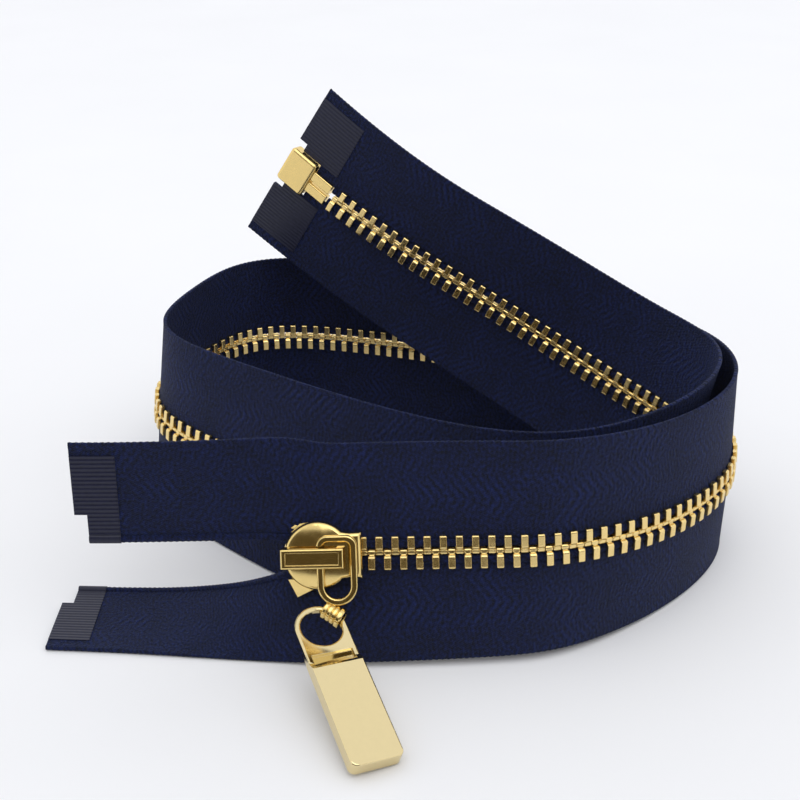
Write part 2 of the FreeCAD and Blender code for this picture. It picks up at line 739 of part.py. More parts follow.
def ribbed_clip():
    """A short barrel with three ribs and a collar, closed round the eye's rim."""
    part = body("ribbed_clip", CLIP)
    profile = sketch(part, "clip_profile", "XZ_Plane")
    start = "-(3 * dims.rib_width + dims.collar_width) / 2"
    crest = "dims.clip_radius"
    outline = [(start, "dims.clip_bore")]
    for number in range(3):
        left = "%s + %d * dims.rib_width" % (start, number)
        outline += [(left, crest + " - 0.2"), (left + " + 0.2", crest),
                    (left + " + dims.rib_width - 0.2", crest)]
    outline += [("%s + 3 * dims.rib_width" % start, crest + " - 0.2"),
                ("%s + 3 * dims.rib_width + 0.2" % start, crest + " + 0.12"),
                ("-%s - 0.2" % start, crest + " + 0.12"), ("-%s" % start, crest),
                ("-%s" % start, "dims.clip_bore")]
    add_outline(profile, outline)
    barrel = part.newObject("PartDesign::Revolution", "barrel")
    barrel.Profile = profile
    axis = next(line for line in part.Origin.OriginFeatures if line.Role == "X_Axis")
    barrel.ReferenceAxis = (axis, [""])
    barrel.Angle = 360
    doc.recompute()


def puller():
    """A flat bar with a thin eye, a sunk slot below it and a thick plain panel."""
    part = body("puller", PULLER)
    half = "dims.puller_width / 2"
    thin = "-dims.eye_thickness / 2"
    ring = sketch(part, "eye_outline", "XY_Plane", thin)
    add_circle(ring, "0", "0", half)
    extrude(part, "Pad", "eye_disc", ring, "dims.eye_thickness")
    neck = sketch(part, "neck_outline", "XY_Plane", thin)
    add_outline(neck, mirrored_corners([("0", half), ("7", half)]))
    extrude(part, "Pad", "neck", neck, "dims.eye_thickness")
    side = sketch(part, "panel_side", "XZ_Plane")
    low = "-dims.puller_thickness / 2"
    high = "dims.puller_thickness / 2"
    end = "dims.puller_length"
    add_outline(side, [
        ("3.6", "-dims.eye_thickness / 2"), ("6.4", low), (end, low), (end, high),
        ("7.2", high), ("6.4", high + " - 0.5"), ("5.9", "dims.eye_thickness / 2"),
        ("3.6", "dims.eye_thickness / 2")])
    panel = extrude(part, "Pad", "panel_bar", side, "dims.puller_width", both_ways=True)
    limit = size("puller_length")
    panel = round_edges(part, "end_corners", panel, 1.1, lambda edge: (
        edge.BoundBox.XMin > limit - 1e-3 and edge.BoundBox.ZLength > 1.0))
    panel = round_edges(part, "end_soft", panel, 0.3, lambda edge: (
        edge.BoundBox.XMin > 7.3 and edge.BoundBox.ZLength < 1e-3))
    hole = sketch(part, "eye_hole", "XY_Plane", "dims.puller_thickness")
    add_circle(hole, "0", "0", "dims.eye_radius")
    extrude(part, "Pocket", "eye_opening", hole, "2 * dims.puller_thickness")
    slot = sketch(part, "slot_outline", "XY_Plane", "dims.puller_thickness")
    add_outline(slot, mirrored_corners([("4.6", "3.3"), ("6.7", "3.3")]))
    carved = extrude(part, "Pocket", "slot", slot, "dims.puller_thickness + 0.15")
    rim = size("eye_thickness") / 2
    round_edges(part, "eye_soft", carved, 0.3, lambda edge: (
        abs(abs(edge.CenterOfMass.z) - rim) < 1e-3 and edge.BoundBox.ZLength < 1e-3
        and edge.BoundBox.XMax < 3.5 and edge.Curve.TypeId == "Part::GeomCircle"))


pull_loop()
ribbed_clip()
puller()

# ------------------------------------------------------------------ checks and output
doc.recompute()
for item in doc.Objects:
    if "Invalid" in item.State or "Error" in item.State:
        raise RuntimeError("%s failed: %s" % (item.Label, item.State))
parts = [item for item in doc.Objects
         if item.isDerivedFrom("PartDesign::Body") or item.TypeId == "Part::Feature"]
os.makedirs("parts", exist_ok=True)
for item in parts:
    if item.Shape.isNull() or not item.Shape.isValid():
        raise RuntimeError("%s has no valid shape" % item.Label)
for item in parts:
    item.Shape.exportStep("parts/%s.step" % item.Label)
box = Part.makeCompound([item.Shape for item in parts]).BoundBox
print("box", box)
print("tape length", round(UPPER.path.Length, 1), round(LOWER.path.Length, 1))
print("teeth", len(upper_lengths), len(lower_lengths))
print("slider", SLIDER.Base, RUN_ALONG, RUN_ACROSS, SLIDER.Rotation.multVec(UP))
print("clip", CLIP.Base, CLIP.Rotation.multVec(Vector(1, 0, 0)))
print("puller", PULLER.Base, PULLER.Rotation.multVec(Vector(1, 0, 0)))
print("pullw", PULLER.Rotation.multVec(Vector(0, 1, 0)))
print("box", BOX.Base, BOX.Rotation.multVec(Vector(1, 0, 0)), BOX.Rotation.multVec(UP))
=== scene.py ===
import math

import bmesh
import bpy
import numpy as np
from mathutils import Matrix, Vector


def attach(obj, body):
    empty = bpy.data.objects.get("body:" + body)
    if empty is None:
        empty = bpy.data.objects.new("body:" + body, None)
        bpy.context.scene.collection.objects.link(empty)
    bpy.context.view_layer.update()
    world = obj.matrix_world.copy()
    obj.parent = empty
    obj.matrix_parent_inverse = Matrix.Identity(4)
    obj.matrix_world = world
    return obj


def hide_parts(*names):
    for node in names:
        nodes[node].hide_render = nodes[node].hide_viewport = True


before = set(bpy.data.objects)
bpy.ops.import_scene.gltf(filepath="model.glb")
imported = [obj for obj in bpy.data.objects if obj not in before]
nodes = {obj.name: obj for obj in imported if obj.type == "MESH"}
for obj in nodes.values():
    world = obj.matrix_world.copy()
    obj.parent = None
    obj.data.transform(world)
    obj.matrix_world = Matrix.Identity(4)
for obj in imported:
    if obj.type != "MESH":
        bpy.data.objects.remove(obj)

# The visual model of a closed, coiled metal zipper. Lengths are in millimetres, and MM
# turns them into metres. MIDDLE moves the route's own origin to the frame's.
MM = 0.001
MIDDLE = np.array([2.27, 32.79, -0.11])
# From the chain's middle line: the tape's outer and inner edges, and the bead's centre.
REACH = 17.35
WEB_START = 1.95
BEAD = 1.35
BEAD_RADIUS = 0.7
TAPE_HALF = 0.3
# The teeth's pitch on one tape, and the box with the gap that the cloth leaves round it.
PITCH = 2.5
BOX_LENGTH = 6.3
BOX_HALF = 3.7
BOX_GAP = 0.15
BOX_REACH = BOX_HALF + BOX_GAP
PIN_LENGTH = 4.7
# The corner cut from a tape's ends: its length, and how far across it goes.
NOTCH = 1.9
NOTCH_EDGE = 5.5
# The films: their outer edge, the pitch of their ribs, and their lengths along the tape.
FILM_EDGE = 15.3
FILM_RIB = 0.68
TOP_FILM = 6.7
BOTTOM_FILM = 10.5

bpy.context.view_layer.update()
scene = bpy.context.scene

# ------------------------------------------------------------------ the tape's route
RUN_START = np.array([-11.0, 7.0, 16.2])
RUN_END = np.array([26.0, 5.1, 18.4])
RUN_SHARES = (0.0, 0.11, 0.27, 0.51, 0.73, 1.0)
RUN_LEANS = (25.0, 25.0, 24.0, 21.0, 17.5, 12.0)
COIL = [
    (44.3, 13.2, 0.0, 9, -1), (59.2, 29.5, 0.0, 4, -1), (60.0, 48.6, 0.0, 0, 2),
    (45.0, 65.0, 0.0, -1, 1), (21.6, 76.6, 0.0, -1, 0), (-2.4, 84.7, 0.0, -3, 0),
    (-21.6, 89.6, 0.0, -4, 1), (-34.1, 86.7, 0.0, 0, 2), (-41.9, 74.0, 0.0, 6, 4),
    (-47.1, 59.3, 0.0, 7, 6), (-42.9, 46.8, 0.0, 10, 7), (-28.6, 35.1, 0.0, 17, 11),
    (-10.4, 22.6, 0.0, 21, 19), (8.7, 12.8, 0.0, 21, 21), (26.6, 10.0, 0.0, 14, 17),
    (41.4, 17.4, 0.0, 6, 7), (51.4, 29.3, 2.0, -6, -3), (52.0, 42.2, 3.0, -21, -10),
    (43.2, 54.9, 3.7, -18, -13), (30.0, 65.6, 9.2, -7, -10), (12.9, 70.7, 18.5, 1, -3),
    (-5.7, 75.9, 28.3, 1, 0), (-21.7, 84.3, 39.6, -6, -5),
]
UPPER_TAIL = [
    (-49.3, 5.0, 18.9, 7.0, 36.1), (-44.0, 5.4, 18.6, 7.5, 35.8),
    (-38.0, 6.0, 18.3, 8.3, 35.5), (-32.0, 6.8, 17.9, 9.3, 35.1),
    (-25.0, 7.6, 17.5, 11.2, 34.4), (-18.5, 8.0, 17.2, 13.9, 33.4),
    (-14.5, 7.45, 16.7, 14.8, 32.35),
]
LOWER_TAIL = [
    (-56.3, 20.3, 0.6, 3.3, 0.4), (-47.0, 20.0, 0.6, 2.8, 0.4),
    (-39.0, 19.3, 1.0, 2.1, 0.4), (-31.0, 15.3, 4.6, 1.3, 0.3),
    (-24.5, 10.4, 9.0, 0.8, 0.1), (-18.5, 6.5, 13.6, 0.4, 0.1),
    (-14.5, 6.8, 15.15, -0.1, 0.3),
]
UP = np.array([0.0, 0.0, 1.0])
DEGREE = 3


def unit(v):
    return v / np.linalg.norm(v, axis=-1, keepdims=True)


def leaning(along, lean):
    """The direction square to the route that leans from upright by some degrees."""
    left = unit(np.cross(UP, along))
    raised = left * math.sin(math.radians(lean)) + UP * math.cos(math.radians(lean))
    return unit(raised - along * (raised @ along) / (along @ along))


def basis(count, values):
    """Cubic spline weights for values from 0 to 1, one row for each value."""
    spans = count - DEGREE
    knots = np.concatenate([np.zeros(DEGREE), np.linspace(0, 1, spans + 1), np.ones(DEGREE)])
    values = np.clip(values, 0, 1 - 1e-9)
    weights = np.array([(values >= knots[i]) & (values < knots[i + 1])
                        for i in range(len(knots) - 1)], float).T
    for degree in range(1, DEGREE + 1):
        higher = np.zeros((len(values), len(knots) - 1 - degree))
        for i in range(higher.shape[1]):
            left = knots[i + degree] - knots[i]
            right = knots[i + degree + 1] - knots[i + 1]
            if left > 0:
                higher[:, i] += (values - knots[i]) / left * weights[:, i]
            if right > 0:
                higher[:, i] += (knots[i + degree + 1] - values) / right * weights[:, i + 1]
        weights = higher
    return weights


class Tape:
    """One tape of the route, evaluated by length along its middle line."""

    def __init__(self, tail, side):
        self.side = side
        tail = np.array(tail)
        line = list(tail[:, (0, 1, 2)])
        edge = list(tail[:, (0, 3, 4)])
        chain = [(RUN_START + (RUN_END - RUN_START) * share, lean, lean)
                 for share, lean in zip(RUN_SHARES, RUN_LEANS)]
        for x, y, foot, upper, lower in COIL:
            height = foot + REACH * math.cos(math.radians(lower))
            chain.append((np.array([x, y, height]), upper, lower))
        middle = [p for p, _, _ in chain]
        before = [2 * middle[0] - middle[1]] + middle[:-1]
        after = middle[1:] + [2 * middle[-1] - middle[-2]]
        for (point, upper, lower), low, high in zip(chain, before, after):
            across = leaning(high - low, upper if side > 0 else lower) * side
            line.append(point)
            edge.append(point + across * REACH)
        self.line = np.array(line) - MIDDLE
        self.edge = np.array(edge) - MIDDLE
        count = len(self.line)
        ahead = np.array([self.line[min(i + 1, count - 1)] - self.line[max(i - 1, 0)]
                          for i in range(count)])
        self.normals = unit(np.cross(ahead, self.edge - self.line)) * side
        fine = np.linspace(0, 1, 6001)
        points = basis(count, fine) @ self.line
        steps = np.linalg.norm(np.diff(points, axis=0), axis=1)
        self.lengths = np.concatenate([[0], np.cumsum(steps)])
        self.values = fine
        self.length = self.lengths[-1]

    def at(self, lengths):
        """Middle line, outer edge, normal and direction along, at lengths in mm."""
        lengths = np.asarray(lengths, float)
        value = np.interp(lengths, self.lengths, self.values)
        weights = basis(len(self.line), value)
        ahead = basis(len(self.line), np.clip(value + 1e-4, 0, 1)) @ self.line
        behind = basis(len(self.line), np.clip(value - 1e-4, 0, 1)) @ self.line
        normal = unit(weights @ self.normals)
        return weights @ self.line, weights @ self.edge, normal, unit(ahead - behind)

    def points(self, lengths, reach, out):
        """Points at lengths along, reaches across and offsets out of the tape, in mm."""
        line, edge, normal, _ = self.at(lengths)
        share = (np.asarray(reach) / REACH)[..., None]
        return line + (edge - line) * share + normal * np.asarray(out)[..., None]

    def frames(self, lengths):
        """Origins on the middle line with axes along, across and normal."""
        line, edge, _, along = self.at(lengths)
        across = edge - line
        across = unit(across - along * np.sum(across * along, axis=1)[:, None])
        return line, along, across, np.cross(along, across)


UPPER = Tape(UPPER_TAIL, 1)
LOWER = Tape(LOWER_TAIL, -1)


# -------------------------------------------------------------------------- materials
def new_material(name):
    material = bpy.data.materials.new(name)
    material.use_nodes = True
    tree = material.node_tree
    shader = tree.nodes["Principled BSDF"]
    return material, tree, shader


def node(tree, kind, **values):
    item = tree.nodes.new(kind)
    for key, value in values.items():
        if key in item.inputs:
            item.inputs[key].default_value = value
        else:
            setattr(item, key, value)
    return item


def math_node(tree, operation, first, second=None):
    item = tree.nodes.new("ShaderNodeMath")
    item.operation = operation
    for socket, value in zip(item.inputs, (first, second)):
        if value is None:
            continue
        if isinstance(value, (int, float)):
            socket.default_value = value
        else:
            tree.links.new(value, socket)
    return item.outputs[0]


def weave_coordinates(tree):
    """The weave map: first along the tape, then across it, in millimetres."""
    attribute = node(tree, "ShaderNodeUVMap", uv_map="weave")
    split = tree.nodes.new("ShaderNodeSeparateXYZ")
    tree.links.new(attribute.outputs["UV"], split.inputs[0])
    return attribute.outputs["UV"], split.outputs["X"], split.outputs["Y"]


def wave(tree, value, period):
    """A sine of a length, with its period in the same unit."""
    return math_node(tree, "SINE", math_node(tree, "MULTIPLY", value, 2 * math.pi / period))


def noise_of(tree, vector, **values):
    item = node(tree, "ShaderNodeTexNoise", **values)
    tree.links.new(vector, item.inputs["Vector"])
    return item.outputs[0]


def about_zero(tree, value, strength, middle=0.5):
    return math_node(tree, "MULTIPLY", math_node(tree, "SUBTRACT", value, middle), strength)


def ramp(tree, factor, stops):
    item = tree.nodes.new("ShaderNodeValToRGB")
    while len(item.color_ramp.elements) < len(stops):
        item.color_ramp.elements.new(0.5)
    for element, (position, colour) in zip(item.color_ramp.elements, stops):
        element.position = position
        element.color = (*colour, 1)
    tree.links.new(factor, item.inputs[0])
    return item.outputs[0]


def fabric_material(name, dark, light, strength):
    """Herringbone twill: small stitches in slanting lines that turn back every few mm."""
    material, tree, shader = new_material(name)
    vector, along, across = weave_coordinates(tree)
    band = math_node(tree, "PINGPONG", across, HERRINGBONE)
    slant = math_node(tree, "ADD", along, math_node(tree, "MULTIPLY", band, RIB_SLANT))
    rib = wave(tree, slant, RIB_PITCH)
    stitch = wave(tree, math_node(tree, "SUBTRACT", along, band), STITCH_LENGTH)
    fine = math_node(tree, "MULTIPLY", wave(tree, across, THREAD_PITCH), stitch)
    fuzz = noise_of(tree, vector, Scale=1.9, Detail=5.0, Roughness=0.7)
    patch = noise_of(tree, vector, Scale=0.16, Detail=2.0)
    # the ribs show only in patches
    shown = about_zero(tree, patch, 3.0, middle=0.42)
    shown = math_node(tree, "MAXIMUM", shown, 0.0)
    height = math_node(tree, "ADD", math_node(tree, "MULTIPLY", rib, shown),
                       math_node(tree, "MULTIPLY", fine, 0.5))
    height = math_node(tree, "ADD", height, about_zero(tree, fuzz, 8.0))
    # painted highlight and shade: the colour follows the weave's height, lighter on the raised
    # ribs and threads and darker in the grooves; the patches add random tone
    tone = math_node(tree, "ADD", math_node(tree, "MULTIPLY", height, 0.34), 0.3)
    tone = math_node(tree, "ADD", tone, about_zero(tree, patch, 0.5))
    colour = ramp(tree, tone, [(0.0, dark), (1.0, light)])
    tree.links.new(colour, shader.inputs["Base Color"])
    bump = node(tree, "ShaderNodeBump", Strength=strength, Distance=0.00018)
    tree.links.new(height, bump.inputs["Height"])
    tree.links.new(bump.outputs[0], shader.inputs["Normal"])
    shader.inputs["Roughness"].default_value = 0.7
    shader.inputs["Sheen Weight"].default_value = 0.12
    shader.inputs["Sheen Roughness"].default_value = 0.45
    shader.inputs["Sheen Tint"].default_value = (0.3, 0.42, 0.9, 1)
    shader.inputs["Specular IOR Level"].default_value = 0.22
    return material


def film_material():
    """Thin plastic film, with ribs that run along the tape."""
    material, tree, shader = new_material("film_ribbed")
    vector, _, across = weave_coordinates(tree)
    rib = wave(tree, across, FILM_RIB)
    noise = noise_of(tree, vector, Scale=1.6, Detail=3.0)
    # painted highlight and shade: the colour follows the ribs, lighter on their crests and darker
    # between them; the noise adds random tone
    tone = math_node(tree, "ADD", math_node(tree, "MULTIPLY", rib, 0.14),
                     math_node(tree, "MULTIPLY", noise, 0.9))
    colour = ramp(tree, tone, [(0.1, (0.004, 0.005, 0.018)), (0.85, (0.013, 0.015, 0.042))])
    tree.links.new(colour, shader.inputs["Base Color"])
    bump = node(tree, "ShaderNodeBump", Strength=0.3, Distance=0.00006)
    tree.links.new(rib, bump.inputs["Height"])
    tree.links.new(bump.outputs[0], shader.inputs["Normal"])
    shader.inputs["Roughness"].default_value = 0.36
    shader.inputs["Specular IOR Level"].default_value = 0.35
    return material


def curved_normal(tree, curve, normal):
    """A flat face shaded as a dome or a hollow: (centre, bend, reach), in metres."""
    centre, bend, limit = curve
    own = tree.nodes.new("ShaderNodeTexCoord")
    reach = tree.nodes.new("ShaderNodeVectorMath")
    reach.operation = "DISTANCE"
    reach.inputs[1].default_value = centre
    tree.links.new(own.outputs["Object"], reach.inputs[0])
    near = math_node(tree, "MINIMUM", reach.outputs["Value"], limit)
    rise = math_node(tree, "MULTIPLY", math_node(tree, "POWER", near, 2.0), bend)
    curved = node(tree, "ShaderNodeBump", Strength=1.0, Distance=1.0)
    tree.links.new(rise, curved.inputs["Height"])
    tree.links.new(normal, curved.inputs["Normal"])
    return curved.outputs[0]


def gold_material(name, colour, roughness, grain, shade=0.93, curve=None):
    """Pale gold plate, with soft edges and a fine unevenness in the polish."""
    material, tree, shader = new_material(name)
    position = tree.nodes.new("ShaderNodeNewGeometry").outputs["Position"]
    noise = noise_of(tree, position, Scale=900.0, Detail=3.0, Roughness=0.6)
    tone = [c * shade for c in colour]
    mixed = ramp(tree, noise, [(0.35, tone), (0.65, colour)])
    tree.links.new(mixed, shader.inputs["Base Color"])
    rough = node(tree, "ShaderNodeMapRange")
    rough.inputs["To Min"].default_value = roughness * 0.7
    rough.inputs["To Max"].default_value = roughness * 1.5
    tree.links.new(noise, rough.inputs["Value"])
    tree.links.new(rough.outputs[0], shader.inputs["Roughness"])
    bump = node(tree, "ShaderNodeBump", Strength=grain, Distance=0.0002)
    tree.links.new(noise_of(tree, position, Scale=160.0, Detail=2.0), bump.inputs["Height"])
    soft = node(tree, "ShaderNodeBevel", samples=4)
    soft.inputs["Radius"].default_value = EDGE_RADIUS
    tree.links.new(soft.outputs[0], bump.inputs["Normal"])
    normal = bump.outputs[0]
    if curve is not None:
        normal = curved_normal(tree, curve, normal)
    tree.links.new(normal, shader.inputs["Normal"])
    shader.inputs["Metallic"].default_value = 1.0
    return material


# The weave's sizes: the width of a herringbone band, the slant and pitch of its ribs,
# and the pitch of its threads and the length of its stitches.
HERRINGBONE = 4.1
RIB_SLANT = 0.75
RIB_PITCH = 1.45
THREAD_PITCH = 0.6
STITCH_LENGTH = 0.7
# The soft edge of the metal pieces, in metres.
EDGE_RADIUS = 0.00014
# The slider's own axes and the puller's eye, from which the curved faces are placed.
SLIDER_ORIGIN = np.array([-13.57, -25.775, 16.292])
SLIDER_ALONG = np.array([0.99693, -0.05119, 0.05928])
SLIDER_OUT = np.array([-0.07152, -0.90354, 0.42249])
CROWN_CENTRE = (SLIDER_ORIGIN - 0.9 * SLIDER_ALONG + 2.0 * SLIDER_OUT) * MM
EYE_CENTRE = (-0.0138436, -0.0358893, 0.0093065)
CROWN = (tuple(CROWN_CENTRE), -24.0, 0.0075)
NECK = (EYE_CENTRE, 20.0, 0.0068)

NAVY_DARK = (0.0008, 0.0014, 0.008)
NAVY_LIGHT = (0.0095, 0.023, 0.15)
TAPE_CLOTH = fabric_material("navy_twill", NAVY_DARK, NAVY_LIGHT, 1.0)
CORD_CLOTH = fabric_material("navy_braid", NAVY_DARK, NAVY_LIGHT, 0.9)
FILM = film_material()
GOLD = (0.84, 0.63, 0.25)
PANEL_GOLD = (0.78, 0.65, 0.36)
TOOTH_GOLD = (0.90, 0.68, 0.29)
POLISHED = gold_material("gold_polished", GOLD, 0.12, 0.10)
CROWNED = gold_material("gold_crowned", GOLD, 0.12, 0.08, curve=CROWN)
MIRROR = gold_material("gold_mirror", PANEL_GOLD, 0.08, 0.01, shade=0.985, curve=NECK)
SATIN = gold_material("gold_satin", GOLD, 0.22, 0.3)
TEETH = gold_material("gold_teeth", TOOTH_GOLD, 0.22, 0.12)


# ----------------------------------------------------------------------------- meshes
def mesh_object(name, vertices, faces, material, uv=None, smooth=True):
    mesh = bpy.data.meshes.new(name)
    mesh.from_pydata([tuple(v) for v in np.asarray(vertices) * MM], [], [tuple(f) for f in faces])
    mesh.materials.append(material)
    if uv is not None:
        layer = mesh.uv_layers.new(name="weave")
        index = np.empty(len(mesh.loops), int)
        mesh.loops.foreach_get("vertex_index", index)
        layer.data.foreach_set("uv", np.asarray(uv)[index].astype(np.float32).ravel())
    if smooth:
        mesh.polygons.foreach_set("use_smooth", [True] * len(mesh.polygons))
    mesh.update()
    item = bpy.data.objects.new(name, mesh)
    scene.collection.objects.link(item)
    return item


def finish_piece(item, body, slot, *replaced):
    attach(item, body)
    if replaced:
        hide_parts(*replaced)
    return item


# The cloth's grid and its scalloped edge, the braid on the bead and the films' skins.
CLOTH_STEP = 0.3
SELVAGE = 0.6
SELVAGE_HALVES = (0.34, 0.36, 0.28, 0.1)
SCALLOP_DEPTH = 0.05
SCALLOP_PITCH = 0.95
BRAID_STEP = 0.22
BRAID_PITCH = 0.9
BRAID_WIDTH = 3.8
FILM_GAP = 0.02
FILM_THICKNESS = 0.1
FILM_RIB_HEIGHT = 0.012


def closed_skin(item):
    """Deletes loose points and turns every face outwards."""
    clean = bmesh.new()
    clean.from_mesh(item.data)
    loose = [v for v in clean.verts if not v.link_faces]
    bmesh.ops.delete(clean, geom=loose, context="VERTS")
    bmesh.ops.recalc_face_normals(clean, faces=clean.faces)
    clean.to_mesh(item.data)
    clean.free()


def slab_faces(keep, upper, lower):
    """Faces of a slab's kept cells, closed round every border of what is kept."""
    rows, columns = keep.shape

    def kept(row, column):
        return 0 <= row < rows and 0 <= column < columns and keep[row, column]

    faces = []
    for row, column in np.argwhere(keep).tolist():
        near, far = (row, column), (row + 1, column + 1)
        ahead, beside = (row + 1, column), (row, column + 1)
        for vertex in (upper, lower):
            faces.append([vertex(*near), vertex(*ahead), vertex(*far), vertex(*beside)])
        borders = (((row, column - 1), near, ahead), ((row, column + 1), beside, far),
                   ((row - 1, column), near, beside), ((row + 1, column), ahead, far))
        for neighbour, first, last in borders:
            if not kept(*neighbour):
                faces.append([upper(*first), upper(*last), lower(*last), lower(*first)])
    return faces


def cell_middles(edges):
    return (edges[:-1] + edges[1:]) / 2


def cut_cells(keep, lengths, reaches, low, high, limit):
    """Leaves out the cells from low to high along the tape, nearer the chain than limit."""
    middles = cell_middles(lengths)
    rows = (middles > low) & (middles < high)
    keep[np.ix_(rows, cell_middles(reaches) < limit)] = False


def tape_mesh(name, tape, node_name):
    """A woven tape with a scalloped outer edge, open at the notches and the box."""
    box_start = tape.length - BOX_LENGTH - BOX_GAP
    marks = [0, NOTCH, tape.length - NOTCH, box_start, tape.length]
    lengths = np.unique(np.concatenate([np.arange(0, tape.length, CLOTH_STEP), marks]))
    lengths = lengths[np.concatenate([[True], np.diff(lengths) > CLOTH_STEP / 6])]
    lengths[-1] = tape.length
    reaches = np.concatenate([np.linspace(WEB_START, BOX_REACH, 6),
                              np.linspace(NOTCH_EDGE, REACH - 0.45, 18),
                              [REACH - 0.25, REACH - 0.08, REACH]])
    across = len(reaches)
    thick = np.full(across, TAPE_HALF)
    thick[-4:] = SELVAGE_HALVES
    scallop = SCALLOP_DEPTH * np.sin(2 * math.pi * lengths / SCALLOP_PITCH)
    vertices = []
    uvs = []
    section = [*zip(reaches, thick), *zip(reaches[::-1], -thick[::-1])]
    for place, out in section:
        edge_share = np.clip((place - (REACH - SELVAGE)) / SELVAGE, 0, 1)
        reach = place + (scallop - SCALLOP_DEPTH * 1.2) * edge_share
        vertices.append(tape.points(lengths, reach, np.full(len(lengths), out)))
        uvs.append(np.stack([lengths, reach], axis=1))
    total = len(lengths)
    keep = np.ones((total - 1, across - 1), bool)
    cut_cells(keep, lengths, reaches, 0, NOTCH, NOTCH_EDGE)
    cut_cells(keep, lengths, reaches, tape.length - NOTCH, tape.length, NOTCH_EDGE)
    cut_cells(keep, lengths, reaches, box_start, tape.length, BOX_REACH)
    faces = slab_faces(keep, lambda row, column: column * total + row,
                       lambda row, column: (2 * across - 1 - column) * total + row)
    item = mesh_object(name, np.concatenate(vertices), faces, TAPE_CLOTH, np.concatenate(uvs))
    closed_skin(item)
    finish_piece(item, "chain", "tape", node_name)
    return item


def tube(tape, lengths, around, radius_at):
    """A closed round skin about the bead, with a radius for each angle round it."""
    total = len(lengths)
    rings = []
    for index in range(around):
        angle = 2 * math.pi * index / around
        radius = radius_at(angle) * np.ones(total)
        rings.append(tape.points(lengths, BEAD + radius * math.cos(angle),
                                 radius * math.sin(angle)))
    faces = []
    for index in range(around):
        start = index * total
        following = (index + 1) % around * total
        for row in range(total - 1):
            faces.append([start + row, following + row, following + row + 1, start + row + 1])
    for row in (0, total - 1):
        faces.append([index * total + row for index in range(around)])
    return np.concatenate(rings), faces


def bead_mesh(name, tape, node_name):
    """The bead at the tape's inner edge, with the slanting threads that bind it."""
    lengths = np.arange(NOTCH, tape.length - BOX_LENGTH - PIN_LENGTH, BRAID_STEP)
    around = 12

    def radius_at(angle):
        return BEAD_RADIUS * (0.95 + 0.06 * np.sin(2 * math.pi * lengths / BRAID_PITCH + angle))

    vertices, faces = tube(tape, lengths, around, radius_at)
    round_it = np.repeat(np.arange(around) * BRAID_WIDTH / around, len(lengths))
    uvs = np.stack([np.tile(lengths, around), round_it], axis=1)
    item = mesh_object(name, vertices, faces, CORD_CLOTH, uvs)
    return finish_piece(item, "chain", "cord", node_name)


def film_mesh(name, tape, node_name, at_box):
    """Two thin ribbed skins over the last stretch of a tape, and a sleeve on its bead."""
    long = BOTTOM_FILM if at_box else TOP_FILM
    first = BOX_REACH + BOX_GAP if at_box else WEB_START + 0.2
    start = tape.length - long if at_box else 0.0
    marks = [tape.length - NOTCH] if at_box else [NOTCH]
    lengths = np.unique(np.concatenate([start + np.linspace(0, long, 31), marks]))
    reaches = np.unique(np.concatenate([np.linspace(first, FILM_EDGE, 75), [NOTCH_EDGE]]))
    total = len(lengths)
    wide = len(reaches)
    vertices = []
    uvs = []
    for side in (1, -1):
        for layer in (0, 1):
            for reach in reaches:
                rib = FILM_RIB_HEIGHT * math.sin(2 * math.pi * reach / FILM_RIB)
                out = side * (TAPE_HALF + FILM_GAP + layer * (FILM_THICKNESS + rib))
                places = np.full(total, reach)
                vertices.append(tape.points(lengths, places, np.full(total, out)))
                uvs.append(np.stack([lengths, places], axis=1))
    keep = np.ones((total - 1, wide - 1), bool)
    notch_start = tape.length - NOTCH if at_box else 0
    cut_cells(keep, lengths, reaches, notch_start, notch_start + NOTCH, NOTCH_EDGE)
    faces = []
    for skin in (0, 1):
        low = 2 * skin * wide * total
        high = low + wide * total
        faces += slab_faces(keep, lambda row, column: low + column * total + row,
                            lambda row, column: high + column * total + row)
    if not at_box:
        sleeve_lengths = np.linspace(NOTCH, long, 20)
        sleeve, sleeve_faces = tube(tape, sleeve_lengths, 14, lambda angle: BEAD_RADIUS + 0.1)
        before = len(vertices) * total
        faces += [[index + before for index in face] for face in sleeve_faces]
        vertices.append(sleeve)
        uvs.append(np.stack([np.tile(sleeve_lengths, 14), np.zeros(len(sleeve))], axis=1))
    item = mesh_object(name, np.concatenate(vertices), faces, FILM, np.concatenate(uvs),
                       smooth=False)
    closed_skin(item)
    return finish_piece(item, "chain", "film", node_name)


def rounded_prism(outline, half_length, bevel):
    """Vertices and faces of an outline (y, z) extruded along x, with rounded edges."""
    block = bmesh.new()
    ring = [block.verts.new((-half_length, y, z)) for y, z in outline]
    face = block.faces.new(ring)
    moved = bmesh.ops.extrude_face_region(block, geom=[face])["geom"]
    bmesh.ops.translate(block, vec=(2 * half_length, 0, 0),
                        verts=[g for g in moved if isinstance(g, bmesh.types.BMVert)])
    bmesh.ops.recalc_face_normals(block, faces=block.faces)
    bmesh.ops.bevel(block, geom=list(block.edges), offset=bevel, segments=2, profile=0.6,
                    affect="EDGES", clamp_overlap=True)
    bmesh.ops.triangulate(block, faces=[f for f in block.faces if len(f.verts) > 4])
    block.verts.index_update()
    vertices = np.array([v.co for v in block.verts])
    faces = [[v.index for v in f.verts] for f in block.faces]
    block.free()
    return vertices, faces


def merged(shapes):
    vertices = []
    faces = []
    count = 0
    for points, polygons in shapes:
        vertices.append(points)
        faces += [[index + count for index in face] for face in polygons]
        count += len(points)
    return np.concatenate(vertices), faces


def mirrored(outline):
    return [(y, -z) for y, z in reversed(outline)]


# Outlines are across and out of the tape, from the bead's centre. Half lengths are along
# the chain.
LEG_HALF = 0.55
NECK_HALF = 0.42
HEAD_HALF = 0.6
STOP_HALF = 1.0


